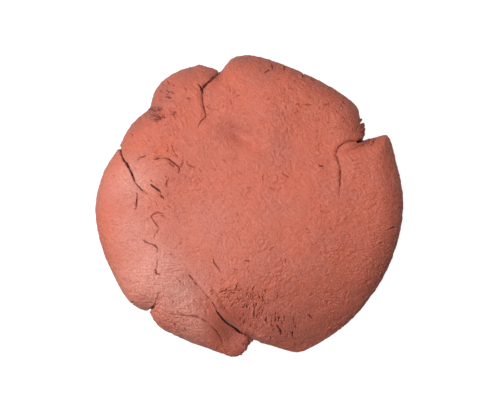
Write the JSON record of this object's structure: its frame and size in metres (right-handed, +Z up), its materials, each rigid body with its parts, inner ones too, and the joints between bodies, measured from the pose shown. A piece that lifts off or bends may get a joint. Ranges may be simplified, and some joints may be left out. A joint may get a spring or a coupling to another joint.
{
  "type": "clay bar",
  "caption": "Round flattened lump of automotive detailing clay, kneaded and folded over itself, with pressed fold seams, cracks and rounded edges.",
  "frame": {"origin": "middle of the flat underside, where the lump rests on a table", "axes": "+Z up out of the lump's top, +X across its longest width towards the small right flap, +Y across it towards the top leaf"},
  "size_m": [0.08, 0.0787, 0.0142],
  "materials": {
    "clay": "matte"
  },
  "bodies": {
    "root": {"centre_leaf": "clay", "top_leaf": "clay", "upper_left_leaf": "clay", "shoulder_leaf": "clay", "left_leaf": "clay", "tongue_leaf": "clay", "rolled_fold": "clay", "right_flap": "clay"}
  },
  "joints": []
}
